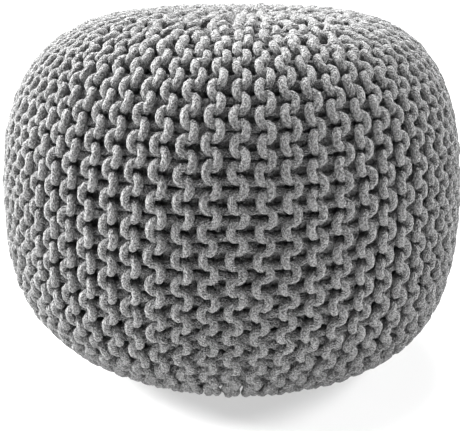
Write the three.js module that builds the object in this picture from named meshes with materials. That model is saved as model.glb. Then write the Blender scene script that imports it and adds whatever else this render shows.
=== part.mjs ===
// A knitted pouf: one filled, ridged cushion that stands on its own flat foot.
// Millimetres, +Z up, origin at the middle of the foot. The ridges of the knitting run
// from the gathered top, over the shoulder and down the wall to the foot.
import * as THREE from 'three';

// Driving dimensions. The outline is two rounded curves that meet at the widest ring:
// a higher squareness fills the shoulder out, a higher power keeps the wall upright, and
// the fullness fills out one side more than the other.
const outerRadius = 254;
const widestHeight = 176;
const crown = { reach: 215, squareness: 4.3, power: 2.46, fullness: 0.1, facing: 1 };
const wall = { reach: 180, squareness: 3.63, power: 2.54, fullness: 0.5, facing: -1 };

// The top is drawn together a little off the middle, in a shallow dimple
const gatherShift = 13;
const gatherDepth = 6;
const gatherWidth = 34;
const gatherRadius = 16;

// Ridges of the knitting, in equal wedges. Each entry is the share of the radius at which
// that ridge of a wedge ends, so fewer ridges come near the middle and none gets too thin.
const wedges = 6;
const ridgeEnds = [0, 0.58, 0.38, 0.54, 0.18, 0.62, 0.08, 0.56, 0.46, 0.5, 0.28];
const ridgeTaper = 0.14;
const firstRidgeAngle = 0.04;
const ridgeLean = 0.048;     // the ridges turn by this much on their way down to the floor
const frontStretch = 0.046;  // ridges in front are wider by this share, those behind narrower
const seamRidge = 4;         // where the knitting's two ends are joined
const seamWidth = 1.11;
const thinnestRidge = 0.12;
const ridgeDepth = 7;
const innerRidgeDepth = 3;    // where the ridges run in over the crown and under the wall
const depthFades = [0.5, 0.82];   // between these shares of the radius
const ridgePitch = 2 * Math.PI * outerRadius / (wedges * ridgeEnds.length);
const crestShare = 0.46;     // share of a ridge's width that its rounded crest takes
const flattenHeight = 22;    // the ridges flatten out this far above the floor

// Rows of points, from the foot up
const wallRows = 10;
const crownWallRows = 8;
const crownWallShare = 0.85;
const crownTopRows = 13;

// Radius, as a share of the outer radius, at a share of a curve's reach
function radiusAt(curve, level, angle) {
  const squareness = curve.squareness + curve.fullness * Math.sin(angle);
  return Math.pow(1 - Math.pow(level, curve.power), 1 / squareness);
}

function levelAt(curve, radius) {
  return Math.pow(1 - Math.pow(radius, curve.squareness), 1 / curve.power);
}

function surfaceRows() {
  const rows = [];
  const footLevel = widestHeight / wall.reach;
  for (let i = 0; i < wallRows; i += 1) {
    rows.push({ curve: wall, level: footLevel * Math.cos(i / wallRows * Math.PI / 2) });
  }
  for (let i = 0; i < crownWallRows; i += 1) {
    rows.push({ curve: crown, level: crownWallShare * i / crownWallRows });
  }
  const shoulderRadius = radiusAt(crown, crownWallShare, 0);
  const lastRadius = gatherRadius / outerRadius;
  for (let i = 0; i < crownTopRows; i += 1) {
    const share = i / (crownTopRows - 1);
    const radius = shoulderRadius + (lastRadius - shoulderRadius) * share;
    rows.push({ curve: crown, level: levelAt(crown, radius) });
  }
  return rows;
}

// The angle of each ridge's middle and its width, where the ridges have this radius
function ridgesAt(radius) {
  const weights = [];
  const step = 2 * Math.PI / (wedges * ridgeEnds.length);
  for (let wedge = 0; wedge < wedges; wedge += 1) {
    ridgeEnds.forEach((end) => {
      const share = end === 0 ? 1 : (radius - end) / ridgeTaper;
      const stretch = 1 + frontStretch * Math.cos(weights.length * step);
      weights.push(stretch * THREE.MathUtils.smoothstep(share, 0, 1));
    });
  }
  weights[seamRidge] *= seamWidth;
  const total = weights.reduce((sum, weight) => sum + weight, 0);
  const ridges = [];
  let middle = -weights[0] / 2;
  weights.forEach((weight) => {
    const width = weight * 2 * Math.PI / total;
    if (weight > thinnestRidge) ridges.push({ angle: (middle + weight / 2) * 2 * Math.PI / total, width });
    middle += weight;
  });
  return ridges;
}

// Three points to a ridge: both sides of its crest, and the furrow beside it
function rowPoints(row) {
  const radius = radiusAt(row.curve, row.level, 0);
  const height = widestHeight + row.curve.facing * row.level * row.curve.reach;
  const points = [];
  const outerShare = THREE.MathUtils.smoothstep(radius, ...depthFades);
  const wholeDepth = THREE.MathUtils.lerp(innerRidgeDepth, ridgeDepth, outerShare);
  const turned = firstRidgeAngle - ridgeLean * (1 - height / (widestHeight + crown.reach));
  ridgesAt(radius).forEach(({ angle: middle, width }) => {
    const angle = middle + turned;
    const thinness = Math.min(1, width * radius * outerRadius / ridgePitch);
    const depth = wholeDepth * thinness * Math.min(1, height / flattenHeight);
    points.push(surfacePoint(row, height, angle - width * crestShare / 2, 0));
    points.push(surfacePoint(row, height, angle + width * crestShare / 2, 0));
    points.push(surfacePoint(row, height, angle + width / 2, depth));
  });
  return points;
}

// A point of the outline at one angle, sunk square to the surface by its inset
function surfacePoint(row, height, angle, inset) {
  const { curve, level } = row;
  const radius = radiusAt(curve, level, angle);
  const outwards = curve.squareness * Math.pow(radius, curve.squareness - 1) / outerRadius;
  const upwards = curve.power * Math.pow(level, curve.power - 1) / curve.reach * curve.facing;
  const steepness = Math.hypot(outwards, upwards);
  const reach = radius * outerRadius - inset * outwards / steepness;
  const onCrown = curve === crown ? 1 : 0;
  const shift = onCrown * gatherShift * Math.pow(1 - radius * radius, 2);
  const dimple = onCrown * gatherDepth * Math.exp(-Math.pow(radius * outerRadius / gatherWidth, 2));
  const x = reach * Math.sin(angle) + shift;
  const y = -reach * Math.cos(angle);
  const z = Math.max(0, height - dimple - inset * upwards / steepness);
  return { angle, x, y, z };
}

// Joins two rows that may differ in number, always stepping on to the nearer angle
function joinRows(lower, upper, triangles) {
  const angleOf = (ring, index) => {
    const count = ring.points.length;
    return ring.points[index % count].angle + 2 * Math.PI * Math.floor(index / count);
  };
  const cornerOf = (ring, index) => ring.first + index % ring.points.length;
  let a = 0;
  let b = 0;
  while (a < lower.points.length || b < upper.points.length) {
    const upperDone = b === upper.points.length;
    const lowerDone = a === lower.points.length;
    const stepLower = !lowerDone && (upperDone || angleOf(lower, a + 1) < angleOf(upper, b + 1));
    const next = stepLower ? cornerOf(lower, a + 1) : cornerOf(upper, b + 1);
    triangles.push(cornerOf(lower, a), next, cornerOf(upper, b));
    if (stepLower) a += 1;
    else b += 1;
  }
}

// Closes a row on one middle point, facing up on the crown and down on the foot
function closeRow(ring, centre, facing, triangles) {
  ring.points.forEach((point, index) => {
    const here = ring.first + index;
    const next = ring.first + (index + 1) % ring.points.length;
    triangles.push(centre, facing > 0 ? here : next, facing > 0 ? next : here);
  });
}

function poufGeometry() {
  const vertices = [0, 0, 0];
  const triangles = [];
  let below = null;
  surfaceRows().forEach((row) => {
    const ring = { first: vertices.length / 3, points: rowPoints(row) };
    ring.points.forEach(({ x, y, z }) => vertices.push(x, y, z));
    if (below) joinRows(below, ring, triangles);
    else closeRow(ring, 0, wall.facing, triangles);
    below = ring;
  });
  const top = vertices.length / 3;
  vertices.push(gatherShift, 0, widestHeight + crown.reach - gatherDepth);
  closeRow(below, top, crown.facing, triangles);
  const geometry = new THREE.BufferGeometry();
  geometry.setAttribute('position', new THREE.Float32BufferAttribute(vertices, 3));
  geometry.setIndex(triangles);
  geometry.computeVertexNormals();
  return geometry;
}

function knitPouf() {
  const yarn = new THREE.MeshStandardMaterial({ color: 0x8f8f8e, roughness: 0.95, metalness: 0 });
  const pouf = new THREE.Mesh(poufGeometry(), yarn);
  pouf.name = 'knit_pouf';
  return pouf;
}

const part = new THREE.Group();
part.add(knitPouf());

export default part;
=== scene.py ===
import bpy
import math
import numpy as np
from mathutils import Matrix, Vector


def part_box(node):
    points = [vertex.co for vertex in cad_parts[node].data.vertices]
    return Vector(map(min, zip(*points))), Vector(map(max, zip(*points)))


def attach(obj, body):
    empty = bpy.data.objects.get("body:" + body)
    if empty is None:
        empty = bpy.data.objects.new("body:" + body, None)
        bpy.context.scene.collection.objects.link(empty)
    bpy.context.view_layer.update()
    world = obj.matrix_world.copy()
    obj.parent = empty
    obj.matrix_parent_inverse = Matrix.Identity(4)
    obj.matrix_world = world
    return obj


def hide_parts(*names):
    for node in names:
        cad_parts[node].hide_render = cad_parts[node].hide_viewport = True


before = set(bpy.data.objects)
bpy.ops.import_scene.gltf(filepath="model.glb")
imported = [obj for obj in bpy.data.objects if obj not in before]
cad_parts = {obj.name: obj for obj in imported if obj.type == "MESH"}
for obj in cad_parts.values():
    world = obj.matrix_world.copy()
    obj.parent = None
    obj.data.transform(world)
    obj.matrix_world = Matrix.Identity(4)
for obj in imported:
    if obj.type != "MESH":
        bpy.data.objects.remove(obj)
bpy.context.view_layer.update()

tiny = 1e-9
white = (1, 1, 1, 1)


# the pouf's outline, from the frame's own box

lowCorner, highCorner = (Vector(corner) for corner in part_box("knit_pouf"))
pouf = {
    "radius": (highCorner.x - lowCorner.x) / 2,
    "height": highCorner.z,
    "widestShare": 0.45,
    "wallReachShare": 0.4608,
    "crownSquareness": 4.3,
    "crownPower": 2.46,
    "crownFullness": 0.1,
    "wallSquareness": 3.63,
    "wallPower": 2.54,
    "wallFullness": 0.5,
    "gatherShift": 0.013,
    "gatherDepth": 0.006,
    "gatherWidth": 0.034,
    "profileSteps": 900,
    "footSteps": 300,
    "slopeStep": 0.0015,
}


def profileTable():
    # from the gathered top, over the shoulder and down the wall to the middle of the foot
    steps = pouf["profileSteps"]
    turn = np.linspace(math.pi / 2, 0, steps)
    widest = pouf["widestShare"] * pouf["height"]
    crownRadius = np.cos(turn) ** (2 / pouf["crownSquareness"])
    crownHeight = widest + (pouf["height"] - widest) * np.sin(turn) ** (2 / pouf["crownPower"])
    crownRadius[0] = 0
    turn = turn[::-1]
    wallRadius = np.cos(turn) ** (2 / pouf["wallSquareness"])
    wallReach = pouf["wallReachShare"] * pouf["height"]
    wallHeight = widest - wallReach * np.sin(turn) ** (2 / pouf["wallPower"])
    standing = wallHeight > 0
    footRadius = np.interp(0, wallHeight[::-1], wallRadius[::-1])
    foot = np.linspace(footRadius, 0, pouf["footSteps"])
    radius = np.concatenate([crownRadius, wallRadius[standing][1:], foot])
    height = np.concatenate([crownHeight, wallHeight[standing][1:], foot * 0])
    onCrown = np.concatenate([crownRadius * 0 + 1, np.zeros(len(radius) - len(crownRadius))])
    along = np.hypot(np.diff(radius) * pouf["radius"], np.diff(height))
    arc = np.concatenate([[0], np.cumsum(along)])
    return {"arc": arc, "radius": radius, "height": height, "onCrown": onCrown}


profile = profileTable()


def profileAt(name, arc):
    return np.interp(arc, profile["arc"], profile[name])


def surfacePoint(arc, angle):
    # arc is the way down from the middle of the top, angle goes round from the front to the right
    crown = profileAt("onCrown", arc) > 0.5
    squareness = np.where(crown, pouf["crownSquareness"], pouf["wallSquareness"])
    fullness = np.where(crown, pouf["crownFullness"], pouf["wallFullness"])
    fuller = profileAt("radius", arc) ** (squareness / (squareness + fullness * np.sin(angle)))
    reach = fuller * pouf["radius"]
    shift = np.where(crown, pouf["gatherShift"] * (1 - fuller ** 2) ** 2, 0)
    dimple = np.where(crown, pouf["gatherDepth"] * np.exp(-(reach / pouf["gatherWidth"]) ** 2), 0)
    level = profileAt("height", arc) - dimple
    return np.stack([reach * np.sin(angle) + shift, -reach * np.cos(angle), level], -1)


def unit(vectors):
    return vectors / np.maximum(np.linalg.norm(vectors, axis=-1, keepdims=True), tiny)


def surfaceFrame(arc, angle):
    # the point, and the directions down the ridge, round the pouf and out of it
    step = pouf["slopeStep"]
    before = surfacePoint(np.maximum(arc - step, 0), angle)
    after = surfacePoint(np.minimum(arc + step, profile["arc"][-1]), angle)
    down = unit(after - before)
    around = np.stack([np.cos(angle), np.sin(angle), angle * 0], -1)
    out = unit(np.cross(down, around))
    side = unit(np.cross(out, down))
    return surfacePoint(arc, angle), down, side, out


# ridges of garter stitch, each of two rows of loops

knit = {
    "wedges": 6,
    "ridgeEnds": [0, 0.58, 0.38, 0.54, 0.18, 0.62, 0.08, 0.56, 0.46, 0.5, 0.28],
    "ridgeTaper": 0.14,
    "shownFrom": 0.08,
    "firstRidgeAngle": 0.04,
    "ridgeLean": 0.048,
    "frontStretch": 0.046,
    "rowTilt": 0.004,
    "rowSlip": 0.0008,
    "stitchPitch": 0.02635,
    "firstStitch": 0.0189,
    "longFrom": 0.475,
    "longOver": 0.08,
    "longer": 0.27,
    "pointsPerStitch": 18,
    "ridgePitch": 0.0242,
    "narrowest": 0.25,
    "widest": 1.2,
    "thinFrom": 0.3,
    "thinOver": 0.3,
    "thinLoft": 0.5,
    "thinYarn": 0.75,
    "gatheredFrom": 0.66,
    "gatheredOver": 0.25,
    "deeperLeft": 0.35,
    "deeperLow": 0.4,
    "flatterCrown": 0.65,
    "fatterCrown": 0.16,
    "yarnRadius": 0.0044,
    "yarnSides": 8,
    "buried": 0.0126,
    "pressed": 0.94,
    "endMargin": 0.001,
    "endSink": 0.01,
    "endLength": 0.6,
    "wobble": 0.0045,
    "wobbleScale": 36.0,
    "wobbleOut": 0.6,
    "seed": 7,
}

# where two ends of the knitting are joined: a wider ridge, with shallower furrows round it
seam = {"ridge": 4, "angle": 0.5, "spread": 0.28, "wider": 1.11, "shallower": 0.6}

# half a stitch of each of a ridge's two rows, from the loop's head to where it joins the next:
# down the ridge, across it to the right and out of the fabric, in millimetres
halfStitch = knit["stitchPitch"] * 1000 / 2
frontRow = [(0, -5.8, 8.5), (4.4, -5.0, 8.5), (7.4, -2.2, 6.6), (8.4, 1.4, 2.0), (8.0, 5.4, -0.8),
            (8.0, 12.0, -2.4), (9.2, 16.5, -5.4), (halfStitch, 18.0, -7.4)]
backRow = [(0, -18.0, -7.4), (6.0, -16.8, -6.0), (8.0, -12.0, -2.6), (7.0, -5.4, -0.8), (4.8, -1.4, 2.0),
           (5.8, 2.2, 6.6), (8.8, 5.0, 8.5), (halfStitch, 5.8, 8.5)]


def smoothCurve(corners, steps=40):
    # a smooth curve through all but the first and the last corner
    share = np.linspace(0, 1, steps, endpoint=False)[:, None]
    pieces = []
    for i in range(1, len(corners) - 2):
        before, start, end, after = corners[i - 1:i + 3]
        bend = 2 * before - 5 * start + 4 * end - after
        twist = 3 * start - before - 3 * end + after
        pieces.append(start + ((end - before) * share + bend * share ** 2 + twist * share ** 3) / 2)
    return np.concatenate(pieces + [corners[-2:-1]])


def wholeLoop(half, middle):
    # the half mirrored about the loop's head, as evenly spaced points measured from their guide line
    points = knit["pointsPerStitch"]
    half = np.array(half) / 1000
    beyond = half[-2] * [-1, 1, 1] + [2 * half[-1][0], 0, 0]
    oneSide = np.concatenate([half, [beyond]])
    corners = np.concatenate([oneSide[:0:-1] * [-1, 1, 1], oneSide])
    curve = smoothCurve(corners)
    length = np.concatenate([[0], np.cumsum(np.linalg.norm(np.diff(curve, axis=0), axis=1))])
    even = np.linspace(0, length[-1], points + 1)[:-1]
    loop = np.stack([np.interp(even, length, curve[:, k]) for k in range(3)], 1)
    loop -= np.outer(np.arange(points) - points / 2, [knit["stitchPitch"] / points, 0, 0])
    loop[:, 1] -= middle
    return np.roll(loop, -points // 2, axis=0)


def smoothShare(value):
    value = np.clip(value, 0, 1)
    return value * value * (3 - 2 * value)


ridgeEnds = np.array(knit["ridgeEnds"] * knit["wedges"])[:, None]
wallAngles = np.arange(len(ridgeEnds)) * 2 * math.pi / len(ridgeEnds)
slips = np.random.RandomState(knit["seed"]).uniform(-1, 1, len(ridgeEnds)) * knit["rowSlip"]


def ridgeLines(arc):
    # each ridge's angle, its width in radians and how much of it is left, at every arc
    grown = np.clip((profileAt("radius", arc)[None] - ridgeEnds) / knit["ridgeTaper"], 0, 1)
    left = np.where(ridgeEnds == 0, 1, smoothShare(grown))
    weights = left * (1 + knit["frontStretch"] * np.cos(wallAngles))[:, None]
    weights[seam["ridge"]] *= seam["wider"]
    turn = 2 * math.pi / weights.sum(0)
    middle = np.cumsum(weights, axis=0) - weights / 2 - weights[0] / 2
    lean = knit["ridgeLean"] * (1 - profileAt("height", arc) / pouf["height"])
    return knit["firstRidgeAngle"] - lean + middle * turn, weights * turn, left


def nearSeam(angles):
    return np.exp(-((angles - seam["angle"]) / seam["spread"]) ** 2)


def leftSide(angles):
    return np.maximum(0, -np.sin(angles))


def gatheredShare(arc):
    # how much of the way the knitting is drawn together, from the shoulder to the middle of the top
    drawnIn = (knit["gatheredFrom"] - profileAt("radius", arc)) / knit["gatheredOver"]
    return profileAt("onCrown", arc) * smoothShare(drawnIn)


def lowShare(arc):
    # how far the wall has turned under, from where the stitches begin to lengthen
    return smoothShare((arc - knit["longFrom"] + knit["longOver"] / 2) / knit["longOver"])


def lengthened(arc):
    # low on the wall and under the pouf the stitches are drawn longer
    low = np.maximum(0, arc - knit["longFrom"])
    growing = np.minimum(low, knit["longOver"])
    return arc + knit["longer"] * growing * (low - growing / 2) / knit["longOver"]


class Wire:
    # a socket that adds a maths node for each sum or product it is used in
    def __init__(self, graph, socket):
        self.graph = graph
        self.socket = socket

    def maths(self, operation, *others):
        inputs = dict(enumerate((self,) + others))
        return self.graph.add("ShaderNodeMath", {"operation": operation}, inputs)

    def __add__(self, other):
        return self.maths("ADD", other)

    def __mul__(self, other):
        return self.maths("MULTIPLY", other)

    def __sub__(self, other):
        return self.maths("SUBTRACT", other)

    def __rsub__(self, other):
        return (self * -1) + other

    def __truediv__(self, other):
        return self.maths("DIVIDE", other)

    __radd__ = __add__
    __rmul__ = __mul__

    def clamped(self, low, high):
        return self.maths("MAXIMUM", low).maths("MINIMUM", high)


class Graph:
    # adds nodes to a shader or geometry tree, and links or sets their sockets
    def __init__(self, tree):
        self.tree = tree

    def node(self, kind, settings=None, inputs=None):
        made = self.tree.nodes.new(kind)
        for name, value in (settings or {}).items():
            setattr(made, name, value)
        for name, value in (inputs or {}).items():
            if isinstance(value, Wire):
                self.tree.links.new(value.socket, made.inputs[name])
            else:
                made.inputs[name].default_value = value
        return made

    def add(self, kind, settings=None, inputs=None, output=0):
        return Wire(self, self.node(kind, settings, inputs).outputs[output])

    def vector(self, operation, *values):
        inputs = dict(enumerate(values))
        if operation == "SCALE":
            inputs = {0: values[0], "Scale": values[1]}
        return self.add("ShaderNodeVectorMath", {"operation": operation}, inputs)

    def parts(self, vector):
        split = self.node("ShaderNodeSeparateXYZ", None, {0: vector})
        return [Wire(self, output) for output in split.outputs]

    def stored(self, name, kind="FLOAT"):
        return self.add("GeometryNodeInputNamedAttribute", {"data_type": kind}, {"Name": name})

    def store(self, geometry, name, kind, value):
        settings = {"data_type": kind, "domain": "POINT"}
        inputs = {"Geometry": geometry, "Name": name, "Value": value}
        return self.add("GeometryNodeStoreNamedAttribute", settings, inputs)


def stitchTree():
    # turns the rows' guide lines into looped yarn
    tree = bpy.data.node_groups.new("stitchRows", "GeometryNodeTree")
    graph = Graph(tree)
    sockets = {"Rows": "Geometry", "Loop": "Object", "Yarn Radius": "Float", "Yarn Sides": "Int",
               "Buried": "Float", "Pressed": "Float", "Wobble": "Float", "Wobble Out": "Float",
               "Wobble Scale": "Float", "Seed": "Float", "Yarn": "Material"}
    for name, kind in sockets.items():
        tree.interface.new_socket(name, in_out="INPUT", socket_type=f"NodeSocket{kind}")
    tree.interface.new_socket("Knitting", in_out="OUTPUT", socket_type="NodeSocketGeometry")
    entry = graph.node("NodeGroupInput")
    given = {name: Wire(graph, entry.outputs[name]) for name in sockets}
    place = graph.add("GeometryNodeInputPosition")

    loop = graph.add("GeometryNodeObjectInfo", None, {"Object": given["Loop"]}, "Geometry")
    shape = graph.node("GeometryNodeSampleIndex", {"data_type": "FLOAT_VECTOR"},
                       {"Geometry": loop, "Value": place, "Index": graph.stored("step", "INT")})
    along, across, depth = graph.parts(Wire(graph, shape.outputs["Value"]))
    noise = graph.add("ShaderNodeTexNoise", {"noise_dimensions": "4D"},
                      {"Vector": place, "W": given["Seed"], "Scale": given["Wobble Scale"], "Detail": 1.0,
                       "Roughness": 0.5}, "Color")
    shakes = graph.parts(graph.vector("SUBTRACT", noise, (0.5, 0.5, 0.5)))
    shakes = [shake * given["Wobble"] * 2 for shake in shakes]

    raised = depth.maths("MAXIMUM", 0.0) * graph.stored("loft")
    sunken = depth.maths("MINIMUM", 0.0) * graph.stored("furrow")
    outwards = raised + sunken - given["Buried"] - graph.stored("sink") + shakes[2] * given["Wobble Out"]
    sideways = across * graph.stored("widthShare") + shakes[1]
    offset = graph.vector("SCALE", graph.stored("down", "FLOAT_VECTOR"), along + shakes[0])
    for direction, amount in (("side", sideways), ("out", outwards)):
        moved = graph.vector("SCALE", graph.stored(direction, "FLOAT_VECTOR"), amount)
        offset = graph.vector("ADD", offset, moved)
    curve = graph.add("GeometryNodeMeshToCurve", None, {"Mesh": given["Rows"]})
    curve = graph.add("GeometryNodeSetPosition", None, {"Geometry": curve, "Offset": offset})
    across, deep, level = graph.parts(place)
    level = level.maths("MAXIMUM", given["Yarn Radius"] * given["Pressed"])
    above = graph.add("ShaderNodeCombineXYZ", None, {0: across, 1: deep, 2: level})
    curve = graph.add("GeometryNodeSetPosition", None, {"Geometry": curve, "Position": above})
    curve = graph.add("GeometryNodeSetCurveRadius", None, {"Curve": curve, "Radius": graph.stored("thin")})
    length = graph.add("GeometryNodeSplineParameter", None, None, "Length")
    curve = graph.store(curve, "along", "FLOAT", length)

    ring = graph.add("GeometryNodeCurvePrimitiveCircle", {"mode": "RADIUS"},
                     {"Resolution": given["Yarn Sides"], "Radius": given["Yarn Radius"]})
    onRing = graph.vector("DIVIDE", place, given["Yarn Radius"])
    ring = graph.store(ring, "ring", "FLOAT_VECTOR", onRing)
    yarns = graph.add("GeometryNodeCurveToMesh", None,
                      {"Curve": curve, "Profile Curve": ring, "Fill Caps": True})
    yarns = graph.add("GeometryNodeSetShadeSmooth", None, {"Geometry": yarns, "Shade Smooth": True})
    yarns = graph.add("GeometryNodeRealizeInstances", None, {"Geometry": yarns})
    yarns = graph.add("GeometryNodeSetMaterial", None, {"Geometry": yarns, "Material": given["Yarn"]})
    leave = graph.node("NodeGroupOutput")
    tree.links.new(yarns.socket, leave.inputs["Knitting"])
    return tree


def meshObject(name, vertices, edges=(), faces=()):
    mesh = bpy.data.meshes.new(name)
    mesh.from_pydata([tuple(v) for v in vertices], [tuple(e) for e in edges], [tuple(f) for f in faces])
    made = bpy.data.objects.new(name, mesh)
    bpy.context.scene.collection.objects.link(made)
    return made


def storeValues(mesh, name, kind, values):
    layer = mesh.attributes.new(name, kind, "POINT")
    field = "vector" if kind == "FLOAT_VECTOR" else "value"
    numberType = np.int32 if kind == "INT" else np.float32
    layer.data.foreach_set(field, np.ascontiguousarray(values, dtype=numberType).ravel())


def rowGuide(ridge, back):
    # one row's guide line, and what its stitches need to know at each point
    points = knit["pointsPerStitch"]
    pitch = knit["stitchPitch"]
    lastArc = profile["arc"][-1]
    knitted = np.interp(lastArc, lengthened(profile["arc"]), profile["arc"])
    stitches = int((knitted - knit["firstStitch"]) / pitch + 0.5)
    step = np.arange(-points // 2, stitches * points - points // 2 + 1)
    arc = lengthened(knit["firstStitch"] + step * pitch / points + slips[ridge])
    arc = arc - knit["rowTilt"] * math.sin(wallAngles[ridge])
    arc = np.clip(arc, knit["endMargin"], lastArc - knit["endMargin"])
    angles, widths, left = (values[ridge] for values in ridgeLines(arc))
    shown = np.flatnonzero(left > knit["shownFrom"])
    own = slice(shown[0], shown[-1] + 1)
    arc, angles, widths, left, step = arc[own], angles[own], widths[own], left[own], step[own]
    quarter = widths / 4 * (-1 if back else 1)
    place, down, side, out = surfaceFrame(arc, angles + quarter)
    wide = widths * profileAt("radius", arc) * pouf["radius"] / knit["ridgePitch"]
    wide = np.clip(wide, knit["narrowest"], knit["widest"])
    count = np.arange(len(arc))
    toEnd = np.minimum(count, count[::-1]) / points
    gathered = gatheredShare(arc)
    whole = smoothShare((wide - knit["thinFrom"]) / knit["thinOver"])
    relief = 1 - seam["shallower"] * nearSeam(angles) + knit["deeperLeft"] * leftSide(angles)
    relief += knit["deeperLow"] * lowShare(arc)
    return {
        "place": place, "down": down, "side": side, "out": out,
        "step": step % points + (points if back else 0),
        "widthShare": wide,
        "loft": knit["thinLoft"] + (1 - knit["thinLoft"]) * whole,
        "thin": knit["thinYarn"] + (1 - knit["thinYarn"]) * whole + knit["fatterCrown"] * gathered,
        "furrow": relief * (1 - knit["flatterCrown"] * gathered),
        "sink": knit["endSink"] * (1 - smoothShare(toEnd / knit["endLength"])),
    }


def guideRows(wedge):
    # all of one wedge's guide lines in one mesh
    perWedge = len(knit["ridgeEnds"])
    guides = [rowGuide(ridge, back) for ridge in range(wedge * perWedge, (wedge + 1) * perWedge)
              for back in (False, True)]
    edges = []
    first = 0
    for guide in guides:
        count = len(guide["step"])
        edges += [(first + i, first + i + 1) for i in range(count - 1)]
        first += count
    values = {name: np.concatenate([guide[name] for guide in guides]) for name in guides[0]}
    source = meshObject("rowGuides", values.pop("place"), edges)
    for name, numbers in values.items():
        kind = "INT" if name == "step" else "FLOAT_VECTOR" if numbers.ndim == 2 else "FLOAT"
        storeValues(source.data, name, kind, numbers)
    return source


def bakedMesh(source, name):
    # the evaluated result as a plain mesh of its own
    graph = bpy.context.evaluated_depsgraph_get()
    mesh = bpy.data.meshes.new_from_object(source.evaluated_get(graph))
    mesh.name = name
    made = bpy.data.objects.new(name, mesh)
    bpy.context.scene.collection.objects.link(made)
    return made


cloth = {"specular": 0.2, "sheenRoughness": 0.5, "midTone": 0.5}
mixSockets = {"dark": 6, "light": 7, "mixed": 2}


def clothShader(name, roughness, sheen):
    material = bpy.data.materials.new(name)
    material.use_nodes = True
    tree = material.node_tree
    tree.nodes.clear()
    graph = Graph(tree)
    shader = graph.node("ShaderNodeBsdfPrincipled")
    shader.inputs["Roughness"].default_value = roughness
    shader.inputs["Specular IOR Level"].default_value = cloth["specular"]
    shader.inputs["Sheen Weight"].default_value = sheen
    shader.inputs["Sheen Roughness"].default_value = cloth["sheenRoughness"]
    output = graph.node("ShaderNodeOutputMaterial")
    tree.links.new(shader.outputs[0], output.inputs[0])
    return material, graph, shader


def connect(graph, shader, tone, dark, light, height, distance):
    # colour between dark and light by tone, and relief by height
    colour = graph.node("ShaderNodeMix", {"data_type": "RGBA"}, {"Factor": tone.clamped(0.0, 1.0)})
    colour.inputs[mixSockets["dark"]].default_value = dark
    colour.inputs[mixSockets["light"]].default_value = light
    graph.tree.links.new(colour.outputs[mixSockets["mixed"]], shader.inputs["Base Color"])
    bump = graph.node("ShaderNodeBump", None, {"Height": height, "Strength": 1.0, "Distance": distance})
    graph.tree.links.new(bump.outputs[0], shader.inputs["Normal"])


def noiseTexture(graph, place, scale, detail, roughness=0.5):
    # noise that runs as far below zero as above it
    inputs = {"Vector": place, "Scale": scale, "Detail": detail, "Roughness": roughness}
    return graph.add("ShaderNodeTexNoise", None, inputs) - 0.5


cord = {
    "roughness": 0.92,
    "sheen": 0.25,
    "dark": (0.08, 0.08, 0.08, 1),
    "light": (0.36, 0.36, 0.36, 1),
    "braids": 7,
    "braidLength": 0.0034,
    "braidLean": 0.7,
    "braidWander": 2.4,
    "grooveLevel": 0.6,
    "reliefHeight": 0.0016,
    # how fine each unevenness is, its detail and its roughness
    "fuzz": (520.0, 4.0, 0.75),
    "mottle": (240.0, 2.0),
    "patches": (22.0, 2.0),
    "wander": (130.0, 2.0),
    # how much each one adds to the colour and to the relief; the strand and groove shares of the colour are
    # painted shade, darker wherever the braid's relief dips
    "tone": {"strand": 0.2, "groove": 0.2, "fuzz": 5.0, "mottle": 1.2, "patches": 0.5},
    "relief": {"strand": 0.5, "groove": 0.4, "fuzz": 2.3, "mottle": 1.6},
}


def addedUp(shares, uneven, total):
    for name, share in shares.items():
        total = total + uneven[name] * share
    return total


def yarnMaterial():
    # a fuzzy round braid, its strands leaning both ways in turn; its colour carries painted shade, darker
    # in the dips between strands and in the grooves between braids
    material, graph, shader = clothShader("greyCordYarn", cord["roughness"], cord["sheen"])
    along = graph.add("ShaderNodeAttribute", {"attribute_name": "along"}, None, "Fac")
    ring = graph.parts(graph.add("ShaderNodeAttribute", {"attribute_name": "ring"}, None, "Vector"))
    turn = (ring[1].maths("ARCTAN2", ring[0]) * (cord["braids"] / (2 * math.pi))).maths("FRACT")
    lean = (turn * 2 - 1).maths("ABSOLUTE")
    place = graph.add("ShaderNodeTexCoord", None, None, "Object")
    uneven = {name: noiseTexture(graph, place, *cord[name])
              for name in ("fuzz", "mottle", "patches", "wander")}
    phase = along / cord["braidLength"] + lean * cord["braidLean"] + uneven["wander"] * cord["braidWander"]
    uneven["strand"] = (phase * (2 * math.pi)).maths("SINE")
    uneven["groove"] = (turn * math.pi).maths("SINE") - cord["grooveLevel"]
    # the strand and groove terms darken the colour exactly where the relief dips: painted shade in the
    # braid's creases
    tone = addedUp(cord["tone"], uneven, cloth["midTone"])
    height = addedUp(cord["relief"], uneven, 0)
    connect(graph, shader, tone, cord["dark"], cord["light"], height, cord["reliefHeight"])
    return material


yarn = yarnMaterial()
tree = stitchTree()
identifiers = {item.name: item.identifier for item in tree.interface.items_tree if item.in_out == "INPUT"}
guideOffset = knit["ridgePitch"] / 4
loopShape = meshObject("loopShape", np.concatenate([wholeLoop(frontRow, guideOffset),
                                                    wholeLoop(backRow, -guideOffset)]))
stitchInputs = {
    "Loop": loopShape,
    "Yarn Radius": knit["yarnRadius"],
    "Yarn Sides": knit["yarnSides"],
    "Buried": knit["buried"],
    "Pressed": knit["pressed"],
    "Wobble": knit["wobble"],
    "Wobble Out": knit["wobbleOut"],
    "Wobble Scale": knit["wobbleScale"],
    "Seed": float(knit["seed"]),
    "Yarn": yarn,
}

for wedge in range(knit["wedges"]):
    source = guideRows(wedge)
    modifier = source.modifiers.new("stitches", "NODES")
    modifier.node_group = tree
    for name, value in stitchInputs.items():
        modifier[identifiers[name]] = value
    piece = bakedMesh(source, f"knitWedge{wedge + 1}")
    bpy.data.objects.remove(source)
    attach(piece, "root")
    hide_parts("knit_pouf")
    print("knitted wedge", wedge + 1, "faces", len(piece.data.polygons))
bpy.data.objects.remove(loopShape)


# the filled bag that shows dark between the stitches

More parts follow.
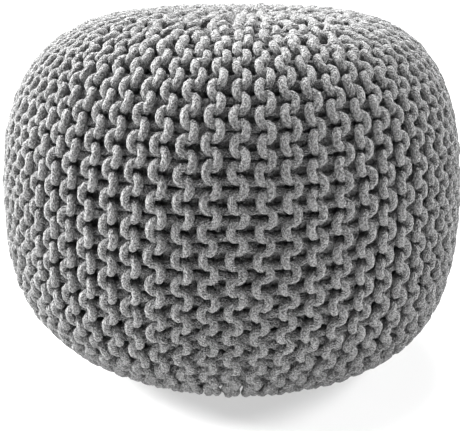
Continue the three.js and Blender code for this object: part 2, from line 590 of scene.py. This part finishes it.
bag = {
    "endMargin": 0.012,
    "inset": 0.019,
    "seamInset": 0.0145,
    "leftInset": 0.025,
    "lowInset": 0.026,
    "crownInset": 0.014,
    "footInset": 0.004,
    "footRises": 0.012,
    "around": 120,
    "down": 60,
    "fill": 0.9,
    "voxel": 0.01,
    "pressure": 4.0,
    "frames": 20,
    "swell": 0.003,
}


cotton = {
    "roughness": 0.95,
    "sheen": 0.1,
    "dark": (0.12, 0.12, 0.12, 1),
    "light": (0.28, 0.28, 0.28, 1),
    "weave": (420.0, 3.0, 0.6),
    "weaveTone": 5.0,
    "reliefHeight": 0.002,
}


def bagMaterial():
    material, graph, shader = clothShader("bagCotton", cotton["roughness"], cotton["sheen"])
    place = graph.add("ShaderNodeTexCoord", None, None, "Object")
    weave = noiseTexture(graph, place, *cotton["weave"])
    tone = cloth["midTone"] + weave * cotton["weaveTone"]
    connect(graph, shader, tone, cotton["dark"], cotton["light"], weave, cotton["reliefHeight"])
    return material


def emptyBag():
    # the outline drawn in by the knitting's thickness, less so where the knitting lies flat below
    lastArc = profile["arc"][-1]
    arcs = np.linspace(bag["endMargin"], lastArc - bag["endMargin"], bag["down"])
    count = bag["around"]
    angles = np.linspace(0, 2 * math.pi, count, endpoint=False)
    rings = []
    for arc in arcs:
        place, down, side, out = surfaceFrame(np.full(count, arc), angles)
        inset = bag["inset"] + (bag["seamInset"] - bag["inset"]) * nearSeam(angles)[:, None]
        inset += (bag["leftInset"] - bag["inset"]) * leftSide(angles)[:, None]
        inset += (bag["crownInset"] - inset) * gatheredShare(arc)
        inset += (bag["lowInset"] - inset) * lowShare(arc)
        inset += (bag["footInset"] - inset) * (1 - smoothShare(profileAt("height", arc) / bag["footRises"]))
        rings.append(place - out * inset)
    vertices = list(np.concatenate(rings + [[rings[0].mean(0)], [rings[-1].mean(0)]]))
    faces = []
    for row in range(len(arcs) - 1):
        for i in range(count):
            a, b = row * count + i, row * count + (i + 1) % count
            faces.append((a, a + count, b + count, b))
    last = (len(arcs) - 1) * count
    top, foot = last + count, last + count + 1
    faces += [(top, i, (i + 1) % count) for i in range(count)]
    faces += [(foot, last + (i + 1) % count, last + i) for i in range(count)]
    return meshObject("emptyBag", vertices, (), faces)


def meshPlaces(mesh):
    places = np.empty(len(mesh.vertices) * 3)
    mesh.vertices.foreach_get("co", places)
    return places.reshape(-1, 3)


def filledBag(start):
    # even cloth, blown up by the filling and held back by the knitting
    remesh = start.modifiers.new("evenCloth", "REMESH")
    remesh.mode = "VOXEL"
    remesh.voxel_size = bag["voxel"]
    sheet = bakedMesh(start, "bagCloth")
    bpy.data.objects.remove(start)
    before = meshPlaces(sheet.data)
    filling = sheet.modifiers.new("filling", "CLOTH")
    filling.settings.use_pressure = True
    filling.settings.uniform_pressure_force = bag["pressure"]
    filling.settings.effector_weights.gravity = 0
    filling.point_cache.frame_end = bag["frames"]
    scene = bpy.context.scene
    for step in range(1, bag["frames"] + 1):
        scene.frame_set(step)
    blown = meshPlaces(sheet.evaluated_get(bpy.context.evaluated_depsgraph_get()).data)
    moved = blown - before
    far = np.linalg.norm(moved, axis=1, keepdims=True)
    moved *= np.minimum(1, bag["swell"] / np.maximum(far, tiny))
    sheet.modifiers.remove(filling)
    scene.frame_set(1)
    sheet.data.vertices.foreach_set("co", (before + moved).ravel())
    finer = sheet.modifiers.new("finer", "SUBSURF")
    finer.levels = 1
    finer.render_levels = 1
    made = bakedMesh(sheet, "filledBag")
    bpy.data.objects.remove(sheet)
    return made


bagPiece = emptyBag()
bagPiece = filledBag(bagPiece)
bagPiece.name = "filledBag"
for polygon in bagPiece.data.polygons:
    polygon.use_smooth = True
bagPiece.data.materials.append(bagMaterial())
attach(bagPiece, "root")
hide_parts("knit_pouf")
print("filled bag", len(bagPiece.data.polygons))


# floor, light and camera

stage = {
    "floorSize": 60.0,
    "floorColour": (0.4, 0.4, 0.4, 1),
    "floorRoughness": 0.9,
    "floorGlow": 0.54,
    "world": 0.05,
    "lampDistance": 3.0,
    # a white card low in front, which lights the underside of the wall
    "card": {"place": (0, -0.46, 0.03), "aim": (0, -0.2, 0.05), "size": (1.0, 0.12), "power": 0.7},
    "lights": [
        # name, where it shines from (round from the front to the right, up), strength, softness
        ("overhead", -140, 61, 11.6, 60),
        ("left", -102, 27, 13.0, 24),
        ("right", 103, 27, 6.0, 26),
    ],
}


def plainFloor():
    half = stage["floorSize"] / 2
    corners = [(-half, -half, 0), (half, -half, 0), (half, half, 0), (-half, half, 0)]
    floor = meshObject("floor", corners, (), [(0, 1, 2, 3)])
    material = bpy.data.materials.new("paleFloor")
    material.use_nodes = True
    shader = material.node_tree.nodes["Principled BSDF"]
    shader.inputs["Base Color"].default_value = stage["floorColour"]
    shader.inputs["Emission Color"].default_value = white
    shader.inputs["Emission Strength"].default_value = stage["floorGlow"]
    shader.inputs["Roughness"].default_value = stage["floorRoughness"]
    floor.data.materials.append(material)


def softLight(name, azimuth, elevation, strength, softness):
    data = bpy.data.lights.new(name, "SUN")
    data.energy = strength
    data.angle = math.radians(softness)
    lamp = bpy.data.objects.new(name, data)
    bpy.context.scene.collection.objects.link(lamp)
    around, up = math.radians(azimuth), math.radians(elevation)
    origin = Vector((math.sin(around) * math.cos(up), -math.cos(around) * math.cos(up), math.sin(up)))
    lamp.location = origin * stage["lampDistance"]
    lamp.rotation_euler = (-origin).to_track_quat("-Z", "Y").to_euler()


def reflectorCard():
    data = bpy.data.lights.new("reflector", "AREA")
    data.shape = "RECTANGLE"
    data.size, data.size_y = stage["card"]["size"]
    data.energy = stage["card"]["power"]
    lamp = bpy.data.objects.new("reflector", data)
    bpy.context.scene.collection.objects.link(lamp)
    lamp.location = stage["card"]["place"]
    away = Vector(stage["card"]["place"]) - Vector(stage["card"]["aim"])
    lamp.rotation_euler = away.to_track_quat("Z", "Y").to_euler()
    lamp.visible_camera = False


camera = {
    "target": (0.0, 0.0, 0.1562),
    "distance": 1.1176,
    "elevation": 16.63,
    "focalPixels": 968.9,
    "imageWidth": 464,
    "sensorWidth": 36.0,
}


def placeCamera():
    data = bpy.data.cameras.new("camera")
    data.sensor_width = camera["sensorWidth"]
    data.lens = camera["focalPixels"] / camera["imageWidth"] * data.sensor_width
    made = bpy.data.objects.new("camera", data)
    bpy.context.scene.collection.objects.link(made)
    tilt = math.radians(camera["elevation"])
    target = Vector(camera["target"])
    made.location = target + camera["distance"] * Vector((0, -math.cos(tilt), math.sin(tilt)))
    made.rotation_euler = (target - made.location).to_track_quat("-Z", "Y").to_euler()
    bpy.context.scene.camera = made


def surroundings():
    world = bpy.data.worlds.new("studio")
    world.use_nodes = True
    background = world.node_tree.nodes["Background"]
    background.inputs["Color"].default_value = white
    background.inputs["Strength"].default_value = stage["world"]
    bpy.context.scene.world = world
    bpy.context.scene.view_settings.view_transform = "Standard"


plainFloor()
for light in stage["lights"]:
    softLight(*light)
reflectorCard()
placeCamera()
surroundings()
print("floor, light and camera")
